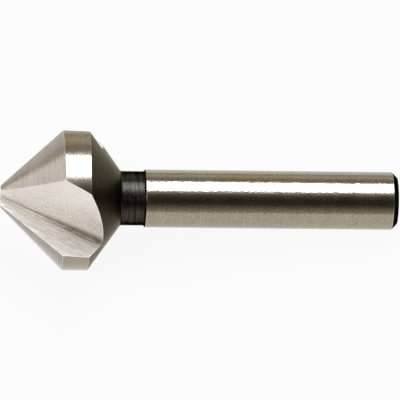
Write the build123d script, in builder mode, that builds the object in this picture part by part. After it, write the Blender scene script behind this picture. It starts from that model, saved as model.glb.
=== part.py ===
"""Three-flute 90 degree countersink bit with a plain round shank, lying on its side at rest.

One solid. Lengths are in millimetres, angles in degrees, +Z is up and the floor is at Z = 0.
Positions along the bit are counted from the tip flat towards the shank's free end.
"""
import os
from math import asin, atan, atan2, cos, degrees, radians, sin, sqrt, tan

from build123d import *

# Driving sizes of the turned blank.
head_diameter = 25.0
shank_diameter = 10.0
neck_diameter = 9.35
tip_diameter = 4.0
point_angle = 90.0
overall_length = 68.5
land_length = 4.55
back_cone_angle = 54.3
neck_end = 24.6
neck_fillet = 0.35
shank_chamfer = 0.93

# Driving sizes of the flutes. Each flute is a V with a flat rake face and a back face.
flute_count = 3
rake_height = 0.11
rake_lean = 5.2
valley_distance = 0.08
valley_angle = 27.7
flute_angle_front = 85.7
flute_angle_back = 92.5
root_radius_front = 0.15
root_radius_back = 1.15

# Driving size of the relief: how far each tooth's cone drops from cutting edge to heel.
cone_relief = 0.25

# How far the cutting tools reach past the metal that they remove.
cutter_lead = 1.0
cutter_clearance = 0.5
relief_overrun = 1.5
relief_depth = 3.0
relief_spill = 12.0

# Stations along the bit.
head_radius = head_diameter / 2
shank_radius = shank_diameter / 2
neck_radius = neck_diameter / 2
tip_radius = tip_diameter / 2
point_slope = tan(radians(point_angle / 2))
land_start = (head_radius - tip_radius) / point_slope
land_end = land_start + land_length
neck_start = land_end + (head_radius - neck_radius) / tan(radians(back_cone_angle))
shoulder_chamfer = shank_radius - neck_radius
shank_start = neck_end + shoulder_chamfer
rim = overall_length - shank_chamfer
end_radius = shank_radius - shank_chamfer

# The flute cutter runs from just before the tip flat to just short of the neck.
cutter_front = -cutter_lead
cutter_back = neck_start - cutter_clearance
cutter_reach = 1.2 * head_diameter


def valley_point(along):
    """Sharp bottom of the V: first number along the rake face, second square to it."""
    out = valley_distance + along * tan(radians(valley_angle))
    square = rake_height - along * tan(radians(rake_lean))
    return out, square


def flute_opening(along):
    """Angle between rake face and back face, which opens evenly towards the shank."""
    share = (along - cutter_front) / (cutter_back - cutter_front)
    return flute_angle_front + share * (flute_angle_back - flute_angle_front)


def mouth_angles(along):
    """Where the rake face and the back face meet the land's cylinder, counted from the rake line."""
    out, square = valley_point(along)
    cutting_corner = asin(square / head_radius)
    lift = radians(flute_opening(along))
    inward = out * cos(lift) + square * sin(lift)
    reach = -inward + sqrt(inward**2 + head_radius**2 - out**2 - square**2)
    heel_corner = atan2(square + reach * sin(lift), out + reach * cos(lift))
    return degrees(cutting_corner), degrees(heel_corner)


# Rest: one flute faces straight down. The bit lies on that flute's two rear land corners
# and on the rim at the shank's free end, so its axis leans a little down to the shank.
rear_cutting_corner, rear_heel_corner = mouth_angles(land_end)
flute_middle = (rear_cutting_corner + rear_heel_corner) / 2
half_mouth = (rear_heel_corner - rear_cutting_corner) / 2
corner_drop = head_radius * cos(radians(half_mouth))
lean = atan((corner_drop - shank_radius) / (rim - land_end))
tip_height = shank_radius * cos(lean) + rim * sin(lean)

shank_way = Vector(cos(lean), 0, -sin(lean))
upward = Vector(sin(lean), 0, cos(lean))
forward = Vector(0, -1, 0)
tip_centre = Vector(0, 0, tip_height)
down_rake_turn = 180 + flute_middle


def outward(turn):
    """Unit direction square to the bit's axis: 0 is up, 90 is towards the front."""
    return upward * cos(radians(turn)) + forward * sin(radians(turn))


def side_plane(origin, turn):
    """Plane through the bit's axis: X is the radius, Y runs from the tip to the shank."""
    radius_way = outward(turn)
    return Plane(origin=origin, x_dir=radius_way, z_dir=radius_way.cross(shank_way))


def section_plane(along, turn):
    """Plane square to the axis: X runs out along the rake face, Y out of it into the flute."""
    return Plane(origin=tip_centre + shank_way * along, x_dir=outward(turn), z_dir=shank_way * -1)


def gullet_outline(along, root_radius):
    """Corner points of the flute's V at one station, with its rounded root."""
    out, square = valley_point(along)
    opening = radians(flute_opening(along))
    tangent = root_radius / tan(opening / 2)
    middle = root_radius / sin(opening / 2) - root_radius
    rake_far = (out + cutter_reach, square)
    rake_root = (out + tangent, square)
    root_middle = (out + middle * cos(opening / 2), square + middle * sin(opening / 2))
    back_root = (out + tangent * cos(opening), square + tangent * sin(opening))
    back_far = (out + cutter_reach * cos(opening), square + cutter_reach * sin(opening))
    return rake_far, rake_root, root_middle, back_root, back_far


with BuildPart() as bit:
    # Turned blank: cone, land, back cone, neck, shoulder, shank and end chamfer.
    with BuildSketch(side_plane(tip_centre, 0)) as blank:
        with BuildLine():
            Polyline(
                (0, 0),
                (tip_radius, 0),
                (head_radius, land_start),
                (head_radius, land_end),
                (neck_radius, neck_start),
                (neck_radius, neck_end),
                (shank_radius, shank_start),
                (shank_radius, rim),
                (end_radius, overall_length),
                (0, overall_length),
                close=True,
            )
        make_face()
        inner_corner = blank.vertices().sort_by_distance(
            tip_centre + outward(0) * neck_radius + shank_way * neck_start
        )[0]
        fillet(inner_corner, neck_fillet)
    revolve(axis=Axis(tip_centre, shank_way))

    # Relief: behind each cutting edge the cone is ground about an axis set off to one side.
    front_cutting_corner, front_heel_corner = mouth_angles(land_start)
    tooth_width = 360 / flute_count - (front_heel_corner - front_cutting_corner)
    relief_throw = cone_relief / (2 * sin(radians(tooth_width / 2)))
    relief_arc = tooth_width + 2 * relief_spill
    for tooth in range(flute_count):
        rake_turn = down_rake_turn + tooth * 360 / flute_count
        tooth_start = rake_turn - front_cutting_corner
        tooth_middle = tooth_start + tooth_width / 2
        relief_centre = tip_centre + outward(tooth_middle - 90) * relief_throw
        ground_radius = tip_radius - cone_relief / 2
        front = -cutter_lead
        back = land_start + relief_overrun
        front_radius = ground_radius + front * point_slope
        back_radius = ground_radius + back * point_slope
        with BuildSketch(side_plane(relief_centre, tooth_middle - relief_arc / 2)):
            with BuildLine():
                Polyline(
                    (front_radius, front),
                    (back_radius, back),
                    (back_radius + relief_depth, back),
                    (front_radius + relief_depth, front),
                    close=True,
                )
            make_face()
        revolve(
            axis=Axis(relief_centre, shank_way), revolution_arc=relief_arc, mode=Mode.SUBTRACT
        )

    # Flutes: one cutter between two sections, so the rake face stays flat and the root widens.
    for flute in range(flute_count):
        rake_turn = down_rake_turn + flute * 360 / flute_count
        for along, root_radius in (
            (cutter_front, root_radius_front),
            (cutter_back, root_radius_back),
        ):
            rake_far, rake_root, root_middle, back_root, back_far = gullet_outline(along, root_radius)
            with BuildSketch(section_plane(along, rake_turn)):
                with BuildLine():
                    Line(rake_far, rake_root)
                    ThreePointArc(rake_root, root_middle, back_root)
                    Line(back_root, back_far)
                    Line(back_far, rake_far)
                make_face()
        loft(ruled=True, mode=Mode.SUBTRACT)

# The finished bit stands over the middle of its own footprint.
footprint = bit.part.bounding_box().center()
placing = Location((-footprint.X, -footprint.Y, 0))
countersink_bit = bit.part.moved(placing)
countersink_bit.label = "countersink_bit"

os.makedirs("parts", exist_ok=True)
export_step(countersink_bit, "parts/countersink_bit.step")

print("rest lean", round(degrees(lean), 3))
print("tip centre", [round(v, 4) for v in (tip_centre + Vector(-footprint.X, -footprint.Y, 0))])
print("shank way", [round(v, 6) for v in shank_way])
print("down flute rake turn", round(down_rake_turn, 3))
print("rear mouth", round(rear_cutting_corner, 3), round(rear_heel_corner, 3))
print("volume", round(countersink_bit.volume, 2), "solids", len(countersink_bit.solids()))
print("box", countersink_bit.bounding_box())
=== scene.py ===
# %% [markdown]
# # A three-flute countersink bit
# The real object is one turned bar of tool steel: a 90 degree cone with a small flat at its tip,
# a narrow land, a back cone, a short neck and a plain shank. Three V-shaped flutes are ground along
# the cone and leave three teeth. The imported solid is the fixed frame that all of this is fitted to.

# %% Open the frame
from math import asin, atan, atan2, cos, degrees, pi, radians, sin, sqrt, tan

import bpy
import numpy as np
from mathutils import Matrix


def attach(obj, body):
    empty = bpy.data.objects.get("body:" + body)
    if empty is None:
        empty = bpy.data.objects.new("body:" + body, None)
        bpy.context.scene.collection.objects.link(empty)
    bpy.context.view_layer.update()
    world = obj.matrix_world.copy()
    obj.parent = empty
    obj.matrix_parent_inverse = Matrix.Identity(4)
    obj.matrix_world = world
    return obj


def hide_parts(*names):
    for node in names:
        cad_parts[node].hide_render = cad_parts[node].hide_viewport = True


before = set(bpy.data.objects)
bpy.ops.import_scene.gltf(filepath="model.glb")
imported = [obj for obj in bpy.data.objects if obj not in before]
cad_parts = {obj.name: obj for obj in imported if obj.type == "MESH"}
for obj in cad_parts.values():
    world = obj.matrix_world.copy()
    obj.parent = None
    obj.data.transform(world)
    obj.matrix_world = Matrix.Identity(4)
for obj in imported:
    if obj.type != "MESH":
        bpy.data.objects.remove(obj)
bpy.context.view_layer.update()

# %% [markdown]
# ## Sizes
# These are the sizes of the turned blank and of the grinding passes, in millimetres and degrees.
# A station is a distance along the axis, counted from the tip flat. The same few numbers give
# the solid its shape, so the dressed surface built from them lies on it everywhere.

# %% Sizes of the blank and the flutes
HEAD_RADIUS = 12.5
SHANK_RADIUS = 5.0
NECK_RADIUS = 4.675
TIP_RADIUS = 2.0
OVERALL_LENGTH = 68.5
LAND_START = 10.5
LAND_END = 15.05
BACK_CONE_ANGLE = radians(54.3)
BACK_CONE_SLOPE = tan(BACK_CONE_ANGLE)
NECK_START = LAND_END + (HEAD_RADIUS - NECK_RADIUS) / BACK_CONE_SLOPE
NECK_END = 24.6
NECK_FILLET = 0.35
SHANK_START = NECK_END + SHANK_RADIUS - NECK_RADIUS
END_CHAMFER = 0.93
RIM = OVERALL_LENGTH - END_CHAMFER
END_RADIUS = SHANK_RADIUS - END_CHAMFER

FLUTES = 3
SECTOR = 2 * pi / FLUTES
RAKE_HEIGHT = 0.11
RAKE_LEAN = radians(5.2)
VALLEY_DISTANCE = 0.08
VALLEY_ANGLE = radians(27.7)
CONE_RELIEF = 0.25
EDGE_ROUND = 0.035
GROUND_ENDS = (
    # station, opening between the two walls, radius of the rounded root
    (-1.0, radians(85.7), 0.15),
    (NECK_START - 0.5, radians(92.5), 1.15),
)
WALL_REACH = 30.0
print("back cone ends at station", round(NECK_START, 3))

# %% [markdown]
# ## The wall of a flute
# A grinding wheel with a sharp rim leaves a V: a flat rake face and a wider back wall, with a
# small rounded root between them. The root's radius and the opening both grow towards the shank,
# because the wheel cuts deeper there. One number follows the wall across: below 0 it is a
# distance out along the rake face, 0 to 1 is the rounded root, and above 1 it is a distance up
# the back wall.

# %% Flute wall as a function of station and place across
def valley(station):
    """Sharp bottom of the V: its distance out grows with the station, its height falls."""
    return VALLEY_DISTANCE + station * tan(VALLEY_ANGLE), RAKE_HEIGHT - station * tan(RAKE_LEAN)


def wall_end(station, opening, radius):
    """Root arc's centre, and the back wall's start and far end, in one of the two end sections."""
    out, square = valley(station)
    tangent = radius / tan(opening / 2)
    centre = np.array((out + tangent, square + radius))
    start = np.array((out + tangent * cos(opening), square + tangent * sin(opening)))
    far = np.array((out + WALL_REACH * cos(opening), square + WALL_REACH * sin(opening)))
    return centre, start, far


def wall(station, across):
    """Point of the flute wall: the two end sections blended by station.

    The root arc turns from straight down by 180 degrees less the opening. The rake face leaves it
    along x, and the back wall leaves it along the blended line of the two end walls.
    """
    share = (station - GROUND_ENDS[0][0]) / (GROUND_ENDS[1][0] - GROUND_ENDS[0][0])
    turn_share = np.clip(across, 0, 1)
    x = y = 0
    way_x = way_y = 0
    for weight, (place, opening, radius) in zip((1 - share, share), GROUND_ENDS):
        centre, start, far = wall_end(place, opening, radius)
        turn = 1.5 * pi - turn_share * (pi - opening)
        x = x + weight * (centre[0] + radius * np.cos(turn))
        y = y + weight * (centre[1] + radius * np.sin(turn))
        way_x = way_x + weight * (far[0] - start[0])
        way_y = way_y + weight * (far[1] - start[1])
    length = np.hypot(way_x, way_y)
    climb = np.maximum(across - 1, 0)
    x = x + np.maximum(-across, 0) + climb * way_x / length
    y = y + climb * way_y / length
    return x, y


for station in (0.0, LAND_END):
    print("root at station", station, "is at", np.round(wall(station, 0.5), 3))


# %% [markdown]
# ## The outside of the bit
# The lathe gives the blank a radius at each station. Then each tooth's cone is ground again about
# an axis set a little to one side, so that it drops by a quarter of a millimetre from
# its cutting edge to its heel. Without that relief the teeth would rub and not cut.

# %% Outer radius as a function of station and angle
def mouth_angle(station, opening):
    """Angle of the heel corner on the land's cylinder, where the straight back wall meets it."""
    out, square = valley(station)
    inward = out * cos(opening) + square * sin(opening)
    reach = -inward + sqrt(inward**2 + HEAD_RADIUS**2 - out**2 - square**2)
    return atan2(square + reach * sin(opening), out + reach * cos(opening))


def opening_at(station):
    """Opening of the V, which grows evenly from the first end section to the second."""
    (first, narrow, _), (last, wide, _) = GROUND_ENDS
    return narrow + (station - first) / (last - first) * (wide - narrow)


front_cut = asin(valley(LAND_START)[1] / HEAD_RADIUS)
front_heel = mouth_angle(LAND_START, opening_at(LAND_START))
TOOTH_WIDTH = SECTOR - (front_heel - front_cut)
RELIEF_THROW = CONE_RELIEF / (2 * sin(TOOTH_WIDTH / 2))
RELIEF_TURN = -front_cut + TOOTH_WIDTH / 2 - pi / 2


def blank_radius(station):
    """Turned blank: the lowest of the 45 degree cone, the land and the back cone."""
    cone = TIP_RADIUS + station
    back = HEAD_RADIUS - (station - LAND_END) * BACK_CONE_SLOPE
    return np.minimum(np.minimum(cone, HEAD_RADIUS), back)


def metal_radius(station, behind):
    """Blank or relieved cone, whichever is lower, at an angle behind the tooth's rake line."""
    ground = TIP_RADIUS - CONE_RELIEF / 2 + station
    turn = behind - RELIEF_TURN
    relieved = RELIEF_THROW * np.cos(turn) + np.sqrt(ground**2 - (RELIEF_THROW * np.sin(turn)) ** 2)
    return np.minimum(blank_radius(station), relieved)


def land_front(behind):
    """Station where the relieved cone reaches the land's radius, at an angle behind the rake line."""
    ground = np.sqrt(
        HEAD_RADIUS**2
        + RELIEF_THROW**2
        - 2 * HEAD_RADIUS * RELIEF_THROW * np.cos(behind - RELIEF_TURN)
    )
    return np.maximum(ground - TIP_RADIUS + CONE_RELIEF / 2, LAND_START)


print("tooth width", round(degrees(TOOTH_WIDTH), 2), "relief throw", round(RELIEF_THROW, 4))

# %% [markdown]
# ## Edges where the flute meets the outside
# Each edge is found by halving: a place on the wall that is inside the metal and one that is
# outside close in on the place between them. The arrays hold a whole edge, so one round serves
# all its points. The land starts later at the heel than at the cutting edge, because the relief is
# deepest there, and that start and the edge depend on each other, so the two are found in turns.

# %% Find the edges of a flute
HALVINGS = 52
CORNER_TURNS = 8
JUST_INSIDE = 0.01
INSIDE_RAKE, OUTSIDE_RAKE = 0.3, -20.0
INSIDE_HEEL, OUTSIDE_HEEL = 0.7, 21.0


def halve(inside, outside, is_out):
    """Place between inside and outside where is_out changes, for whole arrays at once."""
    for _ in range(HALVINGS):
        middle = (inside + outside) / 2
        out = is_out(middle)
        inside, outside = np.where(out, inside, middle), np.where(out, middle, outside)
    return (inside + outside) / 2


def cutting_side(station):
    """Place on the rake face where it meets the outside of its own tooth."""
    def is_out(across):
        x, y = wall(station, across)
        return np.hypot(x, y) > metal_radius(station, -np.arctan2(y, x))
    return halve(INSIDE_RAKE, OUTSIDE_RAKE, is_out)


def heel_side(station):
    """Place on the back wall where it meets the heel of the tooth in front."""
    def is_out(across):
        x, y = wall(station, across)
        return np.hypot(x, y) > metal_radius(station, SECTOR - np.arctan2(y, x))
    return halve(INSIDE_HEEL, OUTSIDE_HEEL, is_out)


def run_out(across):
    """Station where a line along the wall leaves the metal through the back cone."""
    def is_out(station):
        x, y = wall(station, across)
        return np.hypot(x, y) > blank_radius(station)
    return halve(LAND_END - JUST_INSIDE, NECK_START, is_out)


def angle_on_wall(station, across):
    """Angle about the axis of a point of the flute wall, from the rake line."""
    x, y = wall(station, across)
    return np.arctan2(y, x)


cut_corner = heel_corner = np.array(LAND_START)
for _ in range(CORNER_TURNS):
    cut_corner = land_front(-angle_on_wall(cut_corner, cutting_side(cut_corner)))
    heel_corner = land_front(SECTOR - angle_on_wall(heel_corner, heel_side(heel_corner)))
print("land starts at", round(float(cut_corner), 4), "and at the heel", round(float(heel_corner), 4))

# %% [markdown]
# ## Grids that meet
# The skin of the bit is a set of grids whose borders use the same points, so they weld into one
# closed surface. Every line of points beside a sharp edge lies a few hundredths of a millimetre
# from it. The edge itself is then drawn in a little, which breaks it as a real edge is broken
# and lets it catch the light.

# %% Grid helpers
BOTH_ENDS = (0, -1)
patches = []


def steps(length, count, short_last=True):
    """Shares from 0 to 1 in count steps. The first is EDGE_ROUND long, and the last if asked.

    On a short line it is 0.3 of an even step instead.
    """
    length = np.atleast_1d(np.asarray(length, float))
    small = np.minimum(EDGE_ROUND / np.maximum(length, 1e-6), 0.3 / count)
    start = np.zeros((1, length.size))
    if not short_last:
        return np.concatenate((start, small + np.linspace(0, 1, count)[:, None] * (1 - small)))
    inner = small + np.linspace(0, 1, count - 1)[:, None] * (1 - 2 * small)
    return np.concatenate((start, inner, start + 1))


def between(start, end, share):
    """Straight blend from start to end."""
    return start + (end - start) * share


def keep(surface, station, x, y, lay, sharp_rows=(), sharp_columns=(), flip=False):
    """Stores a grid three times round the axis, with the lay of its marks and its sharp edges."""
    station, x, y = np.broadcast_arrays(station, x, y)
    sharp = np.zeros(station.shape, bool)
    sharp[list(sharp_rows), :] = True
    sharp[:, list(sharp_columns)] = True
    lay = np.stack(np.broadcast_arrays(*lay), -1)
    if flip:
        station, x, y, sharp, lay = (item[:, ::-1] for item in (station, x, y, sharp, lay))
    for copy in range(FLUTES):
        turn = copy * SECTOR
        turned = x * cos(turn) - y * sin(turn), x * sin(turn) + y * cos(turn)
        patches.append((surface, np.stack((station, *turned), -1), lay, sharp))


def keep_round(surface, station, radius, angle, *lay_and_edges, **flip):
    """Stores a grid that is given by its stations, radii and angles about the axis."""
    keep(surface, station, radius * np.cos(angle), radius * np.sin(angle), *lay_and_edges, **flip)


print("first shares of ten steps along 10 mm:", np.round(steps(10.0, 10)[:3, 0], 4))

# %% [markdown]
# The grid of a flute is made of lines that run along the wall from where the wheel enters the
# metal, at a cutting edge, the tip or a heel, to where it runs out through the back cone.

# %% Flute: entry and exit of every line along the wall
EDGE_STEPS, TIP_STEPS, ROOT_STEPS, ALONG_STEPS, TOOTH_STEPS = 42, 6, 14, 60, 30

edge_share = steps(LAND_START * sqrt(2), EDGE_STEPS)[:, 0]
cut_stations = cut_corner * edge_share
heel_stations = heel_corner * edge_share
tip_cut = cutting_side(np.array(0.0))
tip_heel = heel_side(np.array(0.0))
rear_cut = cutting_side(np.array(LAND_END))
rear_heel = heel_side(np.array(LAND_END))
root_places = np.linspace(0, 1, ROOT_STEPS + 1)

entry_station = np.concatenate(
    (cut_stations[::-1], np.zeros(2 * TIP_STEPS + ROOT_STEPS - 1), heel_stations)
)
entry_across = np.concatenate(
    (
        cutting_side(cut_stations)[::-1],
        between(tip_cut, 0, np.linspace(0, 1, TIP_STEPS + 1)[1:-1]),
        root_places,
        between(1, tip_heel, np.linspace(0, 1, TIP_STEPS + 1)[1:-1]),
        heel_side(heel_stations),
    )
)
first_root = EDGE_STEPS + TIP_STEPS
last_root = first_root + ROOT_STEPS
rake_share = steps(-rear_cut, first_root, False)[:, 0]
heel_share = steps(rear_heel - 1, first_root, False)[:, 0]
rake_exit = between(rear_cut, 0, rake_share)
heel_exit = between(rear_heel, 1, heel_share)[::-1]
exit_across = np.concatenate((rake_exit, root_places[1:-1], heel_exit))
exit_station = run_out(exit_across)
exit_station[[0, -1]] = LAND_END
print("flute's", len(entry_across), "lines run out by station", round(float(exit_station.max()), 3))

# %% Flute: rake face, rounded root and back wall
ACROSS_WEIGHT = 0.6
line_length = np.hypot(exit_station - entry_station, ACROSS_WEIGHT * (exit_across - entry_across))
along_share = steps(line_length, ALONG_STEPS)
flute_station = between(entry_station, exit_station, along_share)
flute_across = between(entry_across, exit_across, along_share)
flute_across[:, 0] = cutting_side(flute_station[:, 0])
flute_across[:, -1] = heel_side(flute_station[:, -1])
flute_x, flute_y = wall(flute_station, flute_across)
for surface, part, edge_column in (
    ("rake", slice(0, first_root + 1), (0,)),
    ("root", slice(first_root, last_root + 1), ()),
    ("back_wall", slice(last_root, None), (-1,)),
):
    station, across, x, y = (item[:, part] for item in (flute_station, flute_across, flute_x, flute_y))
    keep(surface, station, x, y, (station, across), BOTH_ENDS, edge_column)
print("flute grid", flute_station.shape, "height of its root", np.round(flute_y[-1, first_root], 3))

# %% [markdown]
# A tooth is the metal left between two flutes. Its cone drops from the cutting edge to the heel,
# and its land keeps the full 25 mm circle.

# %% Tooth: relieved cone and land
TOOTH_ARC = 10.0
across_share = steps(TOOTH_ARC, TOOTH_STEPS)[:, 0]


def tooth_angles(left, right):
    """Angles behind the rake line, blended from the cutting edge to the heel, one row per pair."""
    return between(left[:, None], right[:, None], across_share[None, :])


cut_angle = -angle_on_wall(cut_stations, cutting_side(cut_stations))
heel_angle = SECTOR - angle_on_wall(heel_stations, heel_side(heel_stations))
cone_behind = tooth_angles(cut_angle, heel_angle)
front_line = land_front(cone_behind[-1])
cone_station = edge_share[:, None] * front_line[None, :]
cone_radius = metal_radius(cone_station, cone_behind)
cone_lay = (cone_behind * cone_radius, cone_station * sqrt(2))
keep_round("cone", cone_station, cone_radius, -cone_behind, cone_lay, BOTH_ENDS, BOTH_ENDS, flip=True)

edge_angles = np.arctan2(flute_y, flute_x)
land_behind = tooth_angles(-edge_angles[:, 0], SECTOR - edge_angles[:, -1])
land_share = between(along_share[:, :1], along_share[:, -1:], across_share[None, :])
land_station = between(front_line[None, :], LAND_END, land_share)
land_lay = (land_behind * HEAD_RADIUS, land_station)
keep_round("land", land_station, HEAD_RADIUS, -land_behind, land_lay, BOTH_ENDS, BOTH_ENDS, flip=True)
drop = metal_radius(LAND_START, cut_angle[-1]) - metal_radius(LAND_START, heel_angle[-1])
print("cone drops by", round(float(drop), 3), "mm from the cutting edge to the heel")

# %% [markdown]
# Behind the land the blank narrows to the neck, and the flutes run out through that cone in a
# curve. The grid starts on that curve and ends on a whole ring, which the neck and shank then use.
# The ring's points are shared out so that the columns of each face fan out evenly towards it. The
# three turns are where on the ring the rake face, the root and the back wall begin.

# %% Back cone, from the rear edges to a ring just past the ends of the flutes
RING_GAP = 0.35
RING_STEPS = 10
RAKE_TURN, ROOT_TURN, WALL_TURN = radians(-18), radians(-10), radians(-3)
SLOPE_SHORTENING = 0.584
CONE_LAY_STRETCH = 1.7
RING = float(exit_station.max()) + RING_GAP
rear_behind = land_behind[-1][::-1]
inner_station = np.concatenate((np.full(TOOTH_STEPS + 1, LAND_END), exit_station[1:]))
inner_angle = np.concatenate((-rear_behind, edge_angles[-1, 1:]))
ring_angle = inner_angle.copy()
tooth, root_from, root_to = TOOTH_STEPS, TOOTH_STEPS + first_root, TOOTH_STEPS + last_root
ring_angle[: tooth + 1] = np.interp(
    inner_angle[: tooth + 1], inner_angle[[0, tooth]], (inner_angle[0], RAKE_TURN)
)
ring_angle[tooth : root_from + 1] = np.linspace(RAKE_TURN, ROOT_TURN, first_root + 1)
ring_angle[root_from : root_to + 1] = np.linspace(ROOT_TURN, WALL_TURN, ROOT_STEPS + 1)
climb = inner_angle[root_to:]
ring_angle[root_to:] = np.interp(climb, climb[[0, -1]], (WALL_TURN, inner_angle[-1]))
ring_share = steps((RING - inner_station) / SLOPE_SHORTENING, RING_STEPS)
ring_station = between(inner_station, RING, ring_share)
ring_turn = between(inner_angle, ring_angle, ring_share)
ring_radius = blank_radius(ring_station)
ring_lay = (ring_turn * ring_radius, ring_station * CONE_LAY_STRETCH)
keep_round("back_cone", ring_station, ring_radius, ring_turn, ring_lay, (0,))
print("ring at station", round(RING, 3), "has", FLUTES * (len(ring_angle) - 1), "points")

# %% [markdown]
# The cone ends in a small flat, so that the tip doesn't crumble. The three flutes cut into the
# flat and leave three horns that meet at the middle.

# %% Tip flat
FLAT_STEPS = 7
rim_angle = -cone_behind[0][::-1]
rim_radius = cone_radius[0][::-1]
mouth = slice(EDGE_STEPS + 1, -EDGE_STEPS)
tip_x = np.concatenate((rim_radius * np.cos(rim_angle), flute_x[0, mouth]))
tip_y = np.concatenate((rim_radius * np.sin(rim_angle), flute_y[0, mouth]))
outward_share = 1 - steps(np.hypot(tip_x, tip_y), FLAT_STEPS, False)
tip_x, tip_y = tip_x * outward_share, tip_y * outward_share
keep("tip_flat", 0.0, tip_x, tip_y, (tip_x, tip_y), (0,), flip=True)
print("tip flat reaches", round(float(rim_radius.max()), 3), "mm from the axis")

# %% [markdown]
# Everything behind the head is plain turning: a profile carried round the axis. Each straight run
# of the profile has a row in the table, and the fillet under the back cone is an arc of its own.

# %% Neck, shank and free end, turned on the lathe
FILLET_STEPS = 6
fillet_run = NECK_FILLET * tan(BACK_CONE_ANGLE / 2)
fillet_angles = np.linspace(BACK_CONE_ANGLE, 0, FILLET_STEPS + 1)
fillet_station = NECK_START + fillet_run - NECK_FILLET * np.sin(fillet_angles)
fillet_radius = NECK_RADIUS + NECK_FILLET * (1 - np.cos(fillet_angles))
TURNED = (
    # surface, stations and radii of its corners, steps, rows on a sharp edge
    ("back_cone", (RING, fillet_station[0]), (float(blank_radius(RING)), fillet_radius[0]), 6, ()),
    ("neck", (fillet_station[-1], NECK_END), (NECK_RADIUS, NECK_RADIUS), 6, (-1,)),
    ("shoulder", (NECK_END, SHANK_START), (NECK_RADIUS, SHANK_RADIUS), 4, BOTH_ENDS),
    ("shank", (SHANK_START, RIM), (SHANK_RADIUS, SHANK_RADIUS), 12, BOTH_ENDS),
    ("end_chamfer", (RIM, OVERALL_LENGTH), (SHANK_RADIUS, END_RADIUS), 4, BOTH_ENDS),
    ("end_face", (OVERALL_LENGTH, OVERALL_LENGTH), (END_RADIUS, 0.0), 6, (0,)),
)
for surface, stations, radii, count, sharp_rows in TURNED:
    span = max(abs(stations[1] - stations[0]), abs(radii[1] - radii[0]))
    shares = steps(span, count, surface != "end_face")
    station, radius = between(*stations, shares), between(*radii, shares)
    turned_lay = (ring_angle * SHANK_RADIUS, (station + radius) + 0 * ring_angle)
    keep_round(surface, station, radius, ring_angle, turned_lay, sharp_rows)
fillet_lay = (ring_angle * SHANK_RADIUS, fillet_station[:, None] + 0 * ring_angle)
keep_round("neck", fillet_station[:, None], fillet_radius[:, None], ring_angle, fillet_lay)
print("grids kept", len(patches), "shank from station", SHANK_START, "to", OVERALL_LENGTH)

# %% [markdown]
# ## One closed skin
# The grids are welded where they meet, with every face's corners in the same order. Points on the
# sharp edges then move half way towards the mean of their plain neighbours, which rounds each edge.
# Normals are the mean of the faces round a point, weighted by area, so the wide faces stay true
# right up to the narrow rounding.

# %% Weld the grids
WELD_STEPS_PER_MM = 1e4


def weld(grids):
    """Gives the shared points, the faces as four corners, their lay, surface and sharp points."""
    starts = np.cumsum([0] + [points.shape[0] * points.shape[1] for _, points, _, _ in grids])
    points = np.concatenate([grid[1].reshape(-1, 3) for grid in grids])
    lay = np.concatenate([grid[2].reshape(-1, 2) for grid in grids])
    sharp = np.concatenate([grid[3].reshape(-1) for grid in grids])
    quads = []
    surfaces = []
    for start, (surface, grid, _, _) in zip(starts, grids):
        rows, columns = grid.shape[:2]
        number = start + np.arange(rows * columns).reshape(rows, columns)
        quad = np.stack((number[:-1, :-1], number[1:, :-1], number[1:, 1:], number[:-1, 1:]), -1)
        quads.append(quad.reshape(-1, 4))
        surfaces += [surface] * len(quads[-1])
    quads = np.concatenate(quads)
    _, first, same = np.unique(
        np.round(points * WELD_STEPS_PER_MM).astype(np.int64),
        axis=0,
        return_index=True,
        return_inverse=True,
    )
    same = same.reshape(-1)
    shared_sharp = np.zeros(len(first), bool)
    np.logical_or.at(shared_sharp, same, sharp)
    return points[first], same[quads], lay[quads], np.array(surfaces), shared_sharp


skin, quads, quad_lay, surfaces, sharp = weld(patches)
print("points", len(skin), "faces", len(quads), "on sharp edges", int(sharp.sum()))


# %% Normals and rounded edges
def diagonal_cross(points, quads):
    """Cross product of each face's two diagonals: along its normal, twice its area long."""
    corners = points[quads]
    return np.cross(corners[:, 2] - corners[:, 0], corners[:, 3] - corners[:, 1])


def normals_of(points, quads):
    """Mean of the face normals round each point, weighted by area to the power of one and a half."""
    across = diagonal_cross(points, quads)
    weighted = across * np.sqrt(np.linalg.norm(across, axis=1))[:, None]
    total = np.zeros_like(points)
    for corner in range(4):
        np.add.at(total, quads[:, corner], weighted)
    return total / np.maximum(np.linalg.norm(total, axis=1), 1e-30)[:, None]


def round_edges(points, quads, sharp):
    """Moves each point of a sharp edge half way to the mean of its neighbours off the edge."""
    pairs = np.concatenate([quads[:, [i, (i + 1) % 4]] for i in range(4)])
    pairs = np.concatenate((pairs, pairs[:, ::-1]))
    pairs = pairs[sharp[pairs[:, 0]] & ~sharp[pairs[:, 1]]]
    total = np.zeros_like(points)
    count = np.zeros(len(points))
    np.add.at(total, pairs[:, 0], points[pairs[:, 1]])
    np.add.at(count, pairs[:, 0], 1)
    moved = points.copy()
    has = count > 0
    moved[has] = 0.5 * points[has] + 0.5 * total[has] / count[has][:, None]
    return moved


DISTANCE_BLOCKS = 60


def distance_to(points, targets):
    """Distance from each point to the nearest of the targets, in blocks that fit in memory."""
    blocks = [
        np.sqrt(((block[:, None, :] - targets[None, :, :]) ** 2).sum(-1).min(1))
        for block in np.array_split(points, DISTANCE_BLOCKS)
    ]
    return np.concatenate(blocks)


from_edge = distance_to(skin, skin[sharp])
sharp_skin = skin
skin = round_edges(skin, quads, sharp)
break_width = np.linalg.norm(skin - sharp_skin, axis=1).max()
print("edges are broken by up to", round(float(break_width), 4), "mm")

# %% [markdown]
# ## How the bit lies
# One flute faces straight down, so the bit rests on that flute's two rear land corners and on the
# rim at the shank's free end. The axis leans down towards the shank by the angle whose tangent is
# the difference in height of those supports over the distance between them. The three directions
# are left-handed, so faces that looked inward before this step look outward after it.

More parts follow.
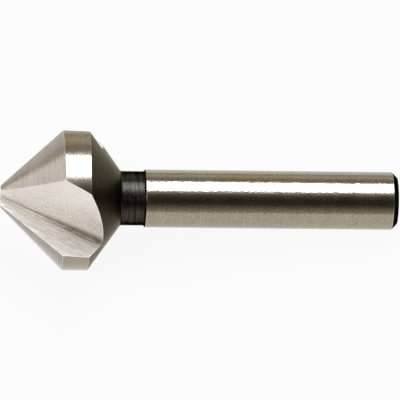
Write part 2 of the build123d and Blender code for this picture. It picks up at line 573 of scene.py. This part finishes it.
# %% Place the skin on the floor
METRES_PER_MM = 0.001
rear_middle = (angle_on_wall(LAND_END, rear_cut) + angle_on_wall(LAND_END, rear_heel)) / 2
rear_half = (angle_on_wall(LAND_END, rear_heel) - angle_on_wall(LAND_END, rear_cut)) / 2
lean = atan((HEAD_RADIUS * cos(rear_half) - SHANK_RADIUS) / (RIM - LAND_END))
tip_height = SHANK_RADIUS * cos(lean) + RIM * sin(lean)
shank_way = np.array((cos(lean), 0, -sin(lean)))
up_way = np.array((sin(lean), 0, cos(lean)))
front_way = np.array((0.0, -1.0, 0.0))


def outward(turn):
    """Unit direction square to the axis: 0 is up, a quarter turn is towards the front."""
    return up_way * cos(turn) + front_way * sin(turn)


down_rake = pi + float(rear_middle)
way = np.stack((shank_way, outward(down_rake), outward(down_rake - pi / 2)))
placed = skin @ way
placed[:, 2] += tip_height
shift = -(placed[:, 0].min() + placed[:, 0].max()) / 2
placed[:, 0] += shift
volume = np.einsum("ij,ij->", placed[quads[:, 0]], diagonal_cross(placed, quads)) / 6
placed *= METRES_PER_MM
print("volume", round(float(volume), 1), "cubic millimetres, above 0 as the faces look out")
print("lean", round(degrees(lean), 3), "tip at", round(shift, 4), 0, round(tip_height, 4), "mm")
print("lowest point", placed[:, 2].min(), "box", placed.min(0), placed.max(0))

# %% [markdown]
# The grids' poles are quads with two corners in one place, so those become triangles. The lay of
# the marks goes with the mesh as a UV map, and each surface gets the number of its finish.

# %% Make the piece
SURFACE_ORDER = (
    # surfaces that share a finish, in the finishes' order
    ("shank", "end_face"),
    ("land",),
    ("cone", "tip_flat"),
    ("rake",),
    ("back_wall", "root"),
    ("back_cone",),
    ("neck", "shoulder"),
    ("end_chamfer",),
)


def build_piece(name, points, quads, quad_lay, surfaces, normals):
    """Mesh object with the lay of its marks in a UV map and one material number per surface."""
    repeated = quads == np.roll(quads, 1, axis=1)
    whole, pinched = repeated.sum(1) == 0, repeated.sum(1) == 1
    order = np.concatenate((np.flatnonzero(whole), np.flatnonzero(pinched)))
    three = quads[pinched][~repeated[pinched]].reshape(-1, 3)
    three_lay = quad_lay[pinched][~repeated[pinched]]
    mesh = bpy.data.meshes.new(name)
    mesh.from_pydata(points, [], quads[whole].tolist() + three.tolist())
    lay = np.concatenate((quad_lay[whole].reshape(-1, 2), three_lay))
    mesh.uv_layers.new(name="lay").data.foreach_set("uv", lay.astype(np.float32).ravel())
    number = {s: i for i, group in enumerate(SURFACE_ORDER) for s in group}
    numbers = np.array([number[s] for s in surfaces])[order]
    mesh.polygons.foreach_set("material_index", numbers.astype(np.int32))
    mesh.shade_smooth()
    mesh.normals_split_custom_set_from_vertices(normals)
    piece = bpy.data.objects.new(name, mesh)
    bpy.context.scene.collection.objects.link(piece)
    return piece


normals = normals_of(placed, quads)
bit = build_piece("countersink_bit_dressed", placed, quads, quad_lay, surfaces, normals)
edge_field = bit.data.attributes.new("from_edge", "FLOAT", "POINT")
edge_field.data.foreach_set("value", from_edge.astype(np.float32))
triangles = sum(len(face.vertices) - 2 for face in bit.data.polygons)
print("piece has", len(bit.data.vertices), "points and", triangles, "triangles")


# %% [markdown]
# ## Finishes
# All of it is one steel, but each pass of the maker leaves its own marks. The lathe and the
# cylindrical grinder mark the cone, land and shank in rings. The flute wheel marks the rake face and
# the back wall in long lines. The back cone, the neck and the end chamfer keep their black scale.
# Three effects are shared: lines of grinding, cloudy patches, and brightened edges. Each is a
# node group, so that every finish can use it with its own sizes.

# %% Node helpers
MIX_SHARE, MIX_FIRST, MIX_SECOND, MIX_RESULT = 0, 6, 7, 2


def feed(tree, socket, value):
    """Links a value that is a socket, and sets any other value on the socket itself."""
    if isinstance(value, bpy.types.NodeSocket):
        tree.links.new(value, socket)
    else:
        socket.default_value = value


def add(tree, kind, **values):
    """Adds a node; a value whose name is a socket goes to that socket, and others to the node."""
    node = tree.nodes.new(kind)
    for name, value in values.items():
        label = name.replace("_", " ")
        if label in node.inputs:
            feed(tree, node.inputs[label], value)
        else:
            setattr(node, name, value)
    return node


def calculate(tree, operation, *values, clamp=False):
    """Math node over numbers or sockets; gives its output socket."""
    node = add(tree, "ShaderNodeMath", operation=operation, use_clamp=clamp)
    for socket, value in zip(node.inputs, values):
        feed(tree, socket, value)
    return node.outputs[0]


def times(tree, first, second):
    """Product of two values."""
    return calculate(tree, "MULTIPLY", first, second)


def plus(tree, first, second):
    """Sum of two values."""
    return calculate(tree, "ADD", first, second)


def weighed(tree, *pairs):
    """Sum of values, each times its weight."""
    total = times(tree, *pairs[0])
    for value, weight in pairs[1:]:
        total = plus(tree, total, times(tree, value, weight))
    return total


def swung(tree, value, level, swing):
    """Level less half the swing, plus the swing times a value from 0 to 1."""
    return plus(tree, times(tree, value, swing), level - swing / 2)


def ramp(tree, value, low, high, to_low=0.0, to_high=1.0):
    """Smooth step of a value: to_low until it reaches low, and to_high once it reaches high."""
    node = add(tree, "ShaderNodeMapRange", interpolation_type="SMOOTHSTEP", Value=value)
    labels = ("From Min", "From Max", "To Min", "To Max")
    for label, number in zip(labels, (low, high, to_low, to_high)):
        node.inputs[label].default_value = number
    return node.outputs["Result"]


def mix_color(tree, share, first, second):
    """Colour mix of two sockets or plain colours: first at a share of 0, second at 1."""
    node = add(tree, "ShaderNodeMix", data_type="RGBA")
    for number, value in ((MIX_SHARE, share), (MIX_FIRST, first), (MIX_SECOND, second)):
        feed(tree, node.inputs[number], (*value, 1) if isinstance(value, tuple) else value)
    return node.outputs[MIX_RESULT]


def stretched(tree, place, size, length):
    """Place divided by a size along X, and by a length along Y and Z."""
    parts = add(tree, "ShaderNodeSeparateXYZ", Vector=place).outputs
    x, y, z = (
        calculate(tree, "DIVIDE", part, divisor) for part, divisor in zip(parts, (size, length, length))
    )
    return add(tree, "ShaderNodeCombineXYZ", X=x, Y=y, Z=z).outputs[0]


def new_group(name, inputs, output):
    """Empty shader node group: gives its tree, its input sockets and its output socket."""
    tree = bpy.data.node_groups.new(name, "ShaderNodeTree")
    for label, kind in inputs.items():
        tree.interface.new_socket(name=label, in_out="INPUT", socket_type=kind)
    tree.interface.new_socket(name=output, in_out="OUTPUT", socket_type="NodeSocketFloat")
    print("group", name, "takes", list(inputs), "and gives", output)
    return tree, tree.nodes.new("NodeGroupInput").outputs, tree.nodes.new("NodeGroupOutput").inputs[0]


def use(tree, group, **values):
    """Places a node group and sets its inputs; gives its output socket."""
    return add(tree, "ShaderNodeGroup", node_tree=group, **values).outputs[0]


# %% [markdown]
# A grinding line is a scratch: narrow across and long along the cut. Noise that is squeezed in one
# direction and stretched in the other two gives just that. The place across the lines is the
# vector's X. Noise keeps near a half, so a ramp spreads its middle over 0 to 1.

# %% Group: grinding lines
VECTOR, NUMBER = "NodeSocketVector", "NodeSocketFloat"
lines_group, source, result = new_group(
    "grinding_lines", {"Place": VECTOR, "Spacing": NUMBER, "Length": NUMBER}, "Lines"
)
squeezed = stretched(lines_group, source["Place"], source["Spacing"], source["Length"])
fine = add(lines_group, "ShaderNodeTexNoise", Vector=squeezed, Scale=1.0, Detail=3.0, Roughness=0.65)
lines_group.links.new(ramp(lines_group, fine.outputs[0], 0.28, 0.72), result)

# %% [markdown]
# Ground steel is never quite even: a loaded wheel, coolant and fingers leave patches. Soft noise
# gives them, and a stretch makes them longer along the cut. With a small size and little detail
# the same noise is the grain of a ground face.

# %% Group: cloudy patches
cloud_group, source, result = new_group(
    "cloudy_patches", {"Place": VECTOR, "Size": NUMBER, "Stretch": NUMBER, "Detail": NUMBER}, "Patches"
)
long_size = times(cloud_group, source["Size"], source["Stretch"])
cloud_place = stretched(cloud_group, source["Place"], source["Size"], long_size)
cloud = add(cloud_group, "ShaderNodeTexNoise", Vector=cloud_place, Scale=1.0, Roughness=0.6)
feed(cloud_group, cloud.inputs["Detail"], source["Detail"])
cloud_group.links.new(ramp(cloud_group, cloud.outputs[0], 0.25, 0.75), result)

# %% [markdown]
# A sharp edge wears first and shows clean metal, brighter than the faces beside it, and the
# lighter edge colour is also a painted highlight. The mesh carries each point's distance from the
# nearest sharp edge, so the mask is 1 on the edge and falls to 0 at a given width.

# %% Group: brightened edges
edge_group, source, result = new_group("brightened_edges", {"Distance": NUMBER, "Width": NUMBER}, "Edge")
nearness = calculate(edge_group, "DIVIDE", source["Distance"], source["Width"])
edge_group.links.new(ramp(edge_group, nearness, 0.0, 1.0, 1.0, 0.0), result)


# %% [markdown]
# Ring marks need a place along the axis, which leans, so a Mapping node turns the object's own
# coordinates until X runs along the bit, in millimetres. Flute marks follow the wall, so
# they read the lay that the mesh carries in its UV map: the station and the place across the wall.
# The finishes are made in the order of SURFACE_ORDER, and each goes on the bit when it is ready.

# %% Parts that the finishes share
MICRON = 0.000001


def start_finish(name, roughness):
    """Metal material, with its node tree and the inputs of its Principled shader."""
    material = bpy.data.materials.new(name)
    material.use_nodes = True
    shader = material.node_tree.nodes["Principled BSDF"].inputs
    shader["Metallic"].default_value = 1.0
    shader["Roughness"].default_value = roughness
    return material, material.node_tree, shader


def axis_place(tree):
    """Place in millimetres, turned by the lean so that X runs along the bit."""
    place = add(tree, "ShaderNodeTexCoord").outputs["Object"]
    scale = (1 / METRES_PER_MM,) * 3
    return add(tree, "ShaderNodeMapping", Vector=place, Rotation=(0, -lean, 0), Scale=scale).outputs[0]


def flute_lay(tree):
    """Station and place across the wall, from the UV map, and a place with X across the lines."""
    lay = add(tree, "ShaderNodeUVMap", uv_map="lay").outputs[0]
    station, across, _ = add(tree, "ShaderNodeSeparateXYZ", Vector=lay).outputs
    return station, across, add(tree, "ShaderNodeCombineXYZ", X=across, Y=station).outputs[0]


def shade(tree, base, mask, swing):
    """Base colour times 1 less the swing where the mask is 0, and 1 plus the swing where it is 1."""
    darker = tuple(part * (1 - swing) for part in base)
    brighter = tuple(min(part * (1 + swing), 1) for part in base)
    return mix_color(tree, mask, darker, brighter)


def bare_and_highlit_edges(tree, color, width, share, bare_and_highlit):
    """Mixes a share of bare metal, as wear and a painted highlight, within some mm of a sharp edge."""
    distance = add(tree, "ShaderNodeAttribute", attribute_name="from_edge").outputs["Fac"]
    edge = use(tree, edge_group, Distance=distance, Width=width)
    return mix_color(tree, times(tree, edge, share), color, bare_and_highlit)


def end_finish(material, shader, color, roughness, height, depth):
    """Links colour, roughness and bump, whose height of 1 is depth metres; puts the finish on."""
    tree = material.node_tree
    marks = add(tree, "ShaderNodeBump", Height=height, Distance=depth, Strength=1.0).outputs[0]
    for label, value in (("Base Color", color), ("Roughness", roughness), ("Normal", marks)):
        tree.links.new(value, shader[label])
    bit.data.materials.append(material)
    print("finish", material.name, "with a bump of", round(depth / MICRON, 2), "micrometres")


# %% [markdown]
# The shank, land and cone are ground while the bit turns, so their marks run round it. The
# wheel's grit also leaves a grain of tiny pits. The shank has the deepest grain and the cone the
# shallowest.

# %% Steel ground in rings
RING_SHARE, PATCH_SHARE = 0.6, 0.4
TURNED_EDGE = (0.75, 0.72, 0.66)


def turned_steel(name, base, roughness, ring_depth, grain_size, grain_depth, grain_share, swing):
    """Steel ground in rings: the grain takes its share of the tone, rings and patches the rest."""
    material, tree, shader = start_finish(name, roughness)
    place = axis_place(tree)
    rings = use(tree, lines_group, Place=place, Spacing=0.18, Length=9.0)
    grain = use(tree, cloud_group, Place=place, Size=grain_size, Stretch=0.9, Detail=0.6)
    clouds = use(tree, cloud_group, Place=place, Size=2.4, Stretch=1.6, Detail=4.0)
    rest = 1 - grain_share
    tone = weighed(tree, (rings, RING_SHARE * rest), (clouds, PATCH_SHARE * rest), (grain, grain_share))
    color = shade(tree, base, tone, swing)
    # lighter edges: bare metal from wear and a painted highlight
    color = bare_and_highlit_edges(tree, color, width=0.12, share=0.5, bare_and_highlit=TURNED_EDGE)
    height = plus(tree, times(tree, rings, ring_depth / grain_depth), grain)
    roughened = swung(tree, clouds, roughness, swing=0.05)
    end_finish(material, shader, color, roughened, height, grain_depth)


STEEL = (0.355, 0.31, 0.24)
turned_steel(
    "ground_steel", STEEL, roughness=0.15, ring_depth=0.8 * MICRON,
    grain_size=0.34, grain_depth=6.5 * MICRON, grain_share=0.50, swing=0.24,
)
turned_steel(
    "land_steel", STEEL, roughness=0.19, ring_depth=0.8 * MICRON,
    grain_size=0.34, grain_depth=3.6 * MICRON, grain_share=0.45, swing=0.20,
)
turned_steel(
    "cone_steel", (0.35, 0.315, 0.265), roughness=0.14, ring_depth=2.0 * MICRON,
    grain_size=0.36, grain_depth=1.5 * MICRON, grain_share=0.25, swing=0.24,
)

# %% [markdown]
# The flute wheel runs along the flute, so its lines follow the wall. The rake face keeps long, deep
# and uneven lines. The back wall is smoother and paler. A brown, mottled band along the root is
# partly a stain and partly painted shade in the crease, and it deepens towards the rear. Two ramps
# paint light and shade: they make a face duller or brighter towards the rear and towards the root.

# %% Steel marked by the flute wheel
LINE_SHARE, CLOUD_SHARE = 0.55, 0.45
REAR_STATIONS = (5.0, 15.0)
RAKE_ACROSS = (-4.5, -0.1)
STAIN_AND_SHADE_STATIONS = (4.0, 14.0)
STAIN_AND_SHADE_AT_TIP = 0.35
STAIN_AND_SHADE_ROUGHENING = 0.30
WHEEL_EDGE = (0.92, 0.90, 0.85)


def wheel_steel(
    name, base, roughness, spacing, length, depth, swing, rear_painted_light, root_painted_highlight, stain_and_shade_color, stain_and_shade_across
):
    """Steel marked by the flute wheel: lines and patches, two ramps of painted light and shade, and a
    mottled band along the root that is partly stain and partly painted shade.

    The band starts, is full, begins to fade and ends at the four places across the wall.
    """
    material, tree, shader = start_finish(name, roughness)
    station, across, place = flute_lay(tree)
    lines = use(tree, lines_group, Place=place, Spacing=spacing, Length=length)
    clouds = use(tree, cloud_group, Place=place, Size=0.55, Stretch=2.6, Detail=4.0)
    tone = weighed(tree, (lines, LINE_SHARE), (clouds, CLOUD_SHARE))
    # painted light and shade: a face darker or lighter towards the rear, and the rake lighter towards its
    # root
    painted_light_to_rear = ramp(tree, station, *REAR_STATIONS, 1.0, rear_painted_light)
    painted_highlight_to_root = ramp(tree, across, *RAKE_ACROSS, 1.0, root_painted_highlight)
    level = times(tree, painted_light_to_rear, painted_highlight_to_root)
    color = shade(tree, base, tone, swing)
    color = add(tree, "ShaderNodeVectorMath", operation="SCALE", Vector=color, Scale=level).outputs[0]
    # mottled brown band along the root: partly a stain, partly painted shade in the crease
    begins = ramp(tree, across, *stain_and_shade_across[:2])
    fades = ramp(tree, across, *stain_and_shade_across[2:], 1.0, 0.0)
    deeper = ramp(tree, station, *STAIN_AND_SHADE_STATIONS, STAIN_AND_SHADE_AT_TIP, 1.0)
    stain_and_shade = times(tree, times(tree, begins, fades), deeper)
    mottle = calculate(tree, "ADD", times(tree, clouds, 0.6), 0.5, clamp=True)
    color = mix_color(tree, times(tree, stain_and_shade, mottle), color, stain_and_shade_color)
    # lighter edges: bare metal from wear and a painted highlight
    color = bare_and_highlit_edges(tree, color, width=0.14, share=0.7, bare_and_highlit=WHEEL_EDGE)
    roughened = swung(tree, tone, roughness, swing=0.10)
    roughened = plus(tree, roughened, times(tree, stain_and_shade, STAIN_AND_SHADE_ROUGHENING))
    end_finish(material, shader, color, roughened, tone, depth)


wheel_steel(
    "rake_face_steel", (0.65, 0.624, 0.598), roughness=0.40,
    spacing=0.24, length=16.0, depth=26 * MICRON, swing=0.42, rear_painted_light=0.75, root_painted_highlight=1.08,
    stain_and_shade_color=(0.50, 0.45, 0.40), stain_and_shade_across=(-0.02, 0.2, 0.5, 0.7),
)
wheel_steel(
    "flute_wall_steel", (0.78, 0.727, 0.683), roughness=0.28,
    spacing=0.26, length=3.0, depth=10 * MICRON, swing=0.08, rear_painted_light=1.12, root_painted_highlight=1.0,
    stain_and_shade_color=(0.17, 0.122, 0.075), stain_and_shade_across=(-0.02, 0.12, 0.2, 2.1),
)

# %% [markdown]
# Hardening leaves a black scale of iron oxide. The back cone, the neck and the end chamfer aren't
# ground afterwards, so they stay dark and satin over the rings of the lathe. Handling bares the
# steel along the edges of the back cone and the chamfer, but not in the neck, which lies lower.
# That lighter edge colour is partly wear and partly a painted highlight.

# %% Black scale left by hardening
BARED_AND_HIGHLIT_STEEL = (0.45, 0.42, 0.37)


def black_scale(name, base, roughness, ring_depth, swing, edge_tint, worn_and_highlit):
    """Dark satin scale: rings in tone and bump, patches in roughness, and a tinted reflection."""
    material, tree, shader = start_finish(name, roughness)
    shader["Specular Tint"].default_value = (*edge_tint, 1)
    place = axis_place(tree)
    rings = use(tree, lines_group, Place=place, Spacing=0.16, Length=6.0)
    clouds = use(tree, cloud_group, Place=place, Size=0.9, Stretch=1.3, Detail=4.0)
    color = shade(tree, base, rings, swing)
    # lighter edges: bare metal from wear and a painted highlight
    color = bare_and_highlit_edges(tree, color, width=0.10, share=worn_and_highlit, bare_and_highlit=BARED_AND_HIGHLIT_STEEL)
    end_finish(material, shader, color, swung(tree, clouds, roughness, swing=0.12), rings, ring_depth)


black_scale(
    "back_cone_scale", (0.025, 0.0185, 0.0105), roughness=0.30,
    ring_depth=4 * MICRON, swing=0.15, edge_tint=(0.92, 0.86, 0.76), worn_and_highlit=0.45,
)
black_scale(
    "neck_scale", (0.048, 0.042, 0.036), roughness=0.28,
    ring_depth=12 * MICRON, swing=0.6, edge_tint=(0.24, 0.22, 0.19), worn_and_highlit=0.0,
)
black_scale(
    "chamfer_scale", (0.009, 0.009, 0.007), roughness=0.34,
    ring_depth=4 * MICRON, swing=0.3, edge_tint=(0.25, 0.25, 0.20), worn_and_highlit=0.45,
)

# %% [markdown]
# The bit is one solid piece of steel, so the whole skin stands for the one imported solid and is
# fixed to the part's only body.

# %% Tie the piece to the frame
print("finishes", [material.name for material in bit.data.materials])
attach(bit, "root")
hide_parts("countersink_bit")

# %% [markdown]
# ## Floor, lights and camera
# The bit lies on white paper. Steel shows little but what it reflects, so for the eye and in
# reflections the paper is evenly bright: there it gives off nearly all of its white itself. For
# every other ray it is matt paper. It lies a hair below the bit.

# %% Floor
FLOOR_HALF = 2.0
FLOOR_DROP = 0.00002
PAPER_GLOW = 0.92
floor_mesh = bpy.data.meshes.new("floor")
corners = [(x * FLOOR_HALF, y * FLOOR_HALF, 0) for x, y in ((-1, -1), (1, -1), (1, 1), (-1, 1))]
floor_mesh.from_pydata(corners, [], [(0, 1, 2, 3)])
floor = bpy.data.objects.new("floor", floor_mesh)
bpy.context.scene.collection.objects.link(floor)
floor.location.z = -FLOOR_DROP
paper = bpy.data.materials.new("white_paper")
paper.use_nodes = True
tree = paper.node_tree
shader = tree.nodes["Principled BSDF"]
shader.inputs["Base Color"].default_value = (0.72, 0.71, 0.70, 1)
shader.inputs["Roughness"].default_value = 0.9
shader.inputs["Specular IOR Level"].default_value = 0.0
path = add(tree, "ShaderNodeLightPath").outputs
seen = calculate(tree, "MAXIMUM", path["Is Camera Ray"], path["Is Glossy Ray"])
seen = calculate(tree, "MAXIMUM", seen, path["Is Transmission Ray"])
white = add(tree, "ShaderNodeEmission", Strength=1.0)
both = add(tree, "ShaderNodeMixShader", Fac=times(tree, seen, PAPER_GLOW))
tree.links.new(shader.outputs[0], both.inputs[1])
tree.links.new(white.outputs[0], both.inputs[2])
tree.links.new(both.outputs[0], tree.nodes["Material Output"].inputs["Surface"])
floor.data.materials.append(paper)
print("floor of", 2 * FLOOR_HALF, "m lies", round(FLOOR_DROP / MICRON), "micrometres down")

# %% [markdown]
# One softbox hangs above the bit, a little behind it and towards the shank. It gives the land its
# highlight. Its energy is its brightness times pi times its area.

# %% Softbox
BOX_WIDTH, BOX_LENGTH = 0.135, 0.288
BOX_BRIGHTNESS = 8.6
softbox_light = bpy.data.lights.new("softbox", "AREA")
softbox_light.shape = "RECTANGLE"
softbox_light.size = BOX_WIDTH
softbox_light.size_y = BOX_LENGTH
softbox_light.energy = BOX_BRIGHTNESS * pi * BOX_WIDTH * BOX_LENGTH
softbox_light.color = (0.79, 0.87, 1.0)
softbox = bpy.data.objects.new("softbox", softbox_light)
softbox.location = (0.0875, 0.140, 0.40)
bpy.context.scene.collection.objects.link(softbox)
print("softbox energy", round(softbox_light.energy, 3), "watts")

# %% [markdown]
# The studio's walls are bands of colour that run from the front horizon up and over to the back
# one. A round bar mirrors them as stripes along its length, and the dark bands high in front give
# the steel its depth. A direction's angle is the arc tangent of its height over its way forward.

# %% Walls of the studio
BANDS = (
    # degrees up from the front horizon and over, then the colour there
    (0, (0.58, 0.545, 0.49)),
    (14, (0.335, 0.315, 0.275)),
    (23, (0.195, 0.178, 0.152)),
    (33, (0.085, 0.070, 0.053)),
    (42, (0.048, 0.037, 0.025)),
    (55, (0.050, 0.038, 0.027)),
    (64, (0.072, 0.060, 0.049)),
    (71, (0.122, 0.110, 0.098)),
    (78, (0.24, 0.23, 0.22)),
    (84, (0.62, 0.61, 0.60)),
    (90, (0.95, 1.0, 1.05)),
    (97, (0.40, 0.38, 0.36)),
    (134, (0.36, 0.335, 0.30)),
    (147, (0.37, 0.34, 0.295)),
    (152, (0.66, 0.615, 0.53)),
    (163, (0.80, 0.735, 0.60)),
    (170, (0.62, 0.565, 0.46)),
    (180, (0.56, 0.50, 0.41)),
)
HALF_TURN = 180
world = bpy.data.worlds.new("studio")
bpy.context.scene.world = world
world.use_nodes = True
tree = world.node_tree
tree.nodes.clear()
direction = add(tree, "ShaderNodeTexCoord").outputs["Generated"]
to_right, to_back, to_top = add(tree, "ShaderNodeSeparateXYZ", Vector=direction).outputs
over_angle = calculate(tree, "ARCTAN2", to_top, times(tree, to_back, -1))
over_share = calculate(tree, "DIVIDE", over_angle, pi, clamp=True)
walls = add(tree, "ShaderNodeValToRGB")
tree.links.new(over_share, walls.inputs[0])
stops = walls.color_ramp.elements
stops[0].position, stops[1].position = 0.0, 1.0
for degree, color in BANDS[1:-1]:
    stops.new(degree / HALF_TURN)
for stop, (degree, color) in zip(stops, BANDS):
    stop.position = degree / HALF_TURN
    stop.color = (*color, 1)
print("walls have", len(stops), "colours")

# %% [markdown]
# Two white cards fill in what the bands can't. The left card stands low beyond the tip, and is
# brightest above its foot. The other hangs high on the near side, over the tip, and lights the
# open flute.

# %% Reflector cards
LEFT_CARD = (1.66, 1.64, 1.74)
LEFT_CARD_FOOT = (0.80, 0.74, 0.63)
LEFT_HORIZON = (1.05, 1.00, 0.90)
OVER_CARD = (2.72, 2.72, 2.64)

above_horizon = ramp(tree, to_top, 0.0, 0.07)
above_foot = ramp(tree, to_top, 0.125, 0.145)
left_color = mix_color(tree, above_horizon, LEFT_HORIZON, LEFT_CARD_FOOT)
left_color = mix_color(tree, above_foot, left_color, LEFT_CARD)
left_card = times(tree, ramp(tree, to_right, -0.66, -0.78), ramp(tree, to_top, 0.45, 0.2))
studio = mix_color(tree, left_card, walls.outputs[0], left_color)

ahead_of_tip = ramp(tree, to_right, -0.08, -0.24)
overhead = ramp(tree, to_top, 0.62, 0.80)
near_side = ramp(tree, to_back, 0.02, -0.12)
over_card = times(tree, times(tree, ahead_of_tip, overhead), near_side)
studio = mix_color(tree, over_card, studio, OVER_CARD)

backdrop = add(tree, "ShaderNodeBackground", Color=studio)
output = add(tree, "ShaderNodeOutputWorld")
tree.links.new(backdrop.outputs[0], output.inputs["Surface"])
print("studio has", len(tree.nodes), "nodes")

# %% [markdown]
# The camera stands 90 cm away with a long lens, so perspective is slight. It looks at the axis from
# 34 degrees in front of straight above, with a small yaw and roll. The focal length in pixels is
# the scale at the bit times the distance.

# %% Camera
PIXELS_PER_MM = 5.80272147
CAMERA_DISTANCE = 900
IMAGE_WIDTH = 400
SENSOR_WIDTH = 36
AIM_STATION = 30.0
AIM_ASIDE = (4.42005455, -0.227120387)
CLIP_END = 20
yaw, roll = 0.0750940415, -0.0104438422
camera_turn = radians(33.9)

turn_y = np.array(((cos(yaw), 0, sin(yaw)), (0, 1, 0), (-sin(yaw), 0, cos(yaw))))
turn_z = np.array(((cos(roll), -sin(roll), 0), (sin(roll), cos(roll), 0), (0, 0, 1)))
turned_view = turn_z @ turn_y
place = turned_view.T @ np.array((*AIM_ASIDE, CAMERA_DISTANCE)) + np.array((AIM_STATION, 0, 0))
towards = outward(camera_turn)
axes = np.stack((shank_way, np.cross(towards, shank_way), towards))
tip_place = np.array((shift, 0, tip_height))
spot = (tip_place + place @ axes) * METRES_PER_MM
frame_axes = turned_view @ axes

camera_data = bpy.data.cameras.new("camera")
camera_data.sensor_width = SENSOR_WIDTH
camera_data.lens = PIXELS_PER_MM * CAMERA_DISTANCE / IMAGE_WIDTH * SENSOR_WIDTH
camera_data.clip_end = CLIP_END
camera = bpy.data.objects.new("camera", camera_data)
bpy.context.scene.collection.objects.link(camera)
rows = [[*frame_axes[:, row], spot[row]] for row in range(3)]
camera.matrix_world = Matrix([*rows, [0, 0, 0, 1]])
bpy.context.scene.camera = camera
bpy.context.scene.view_settings.view_transform = "Standard"
print("camera at", spot.round(4), "lens", round(camera_data.lens, 1))
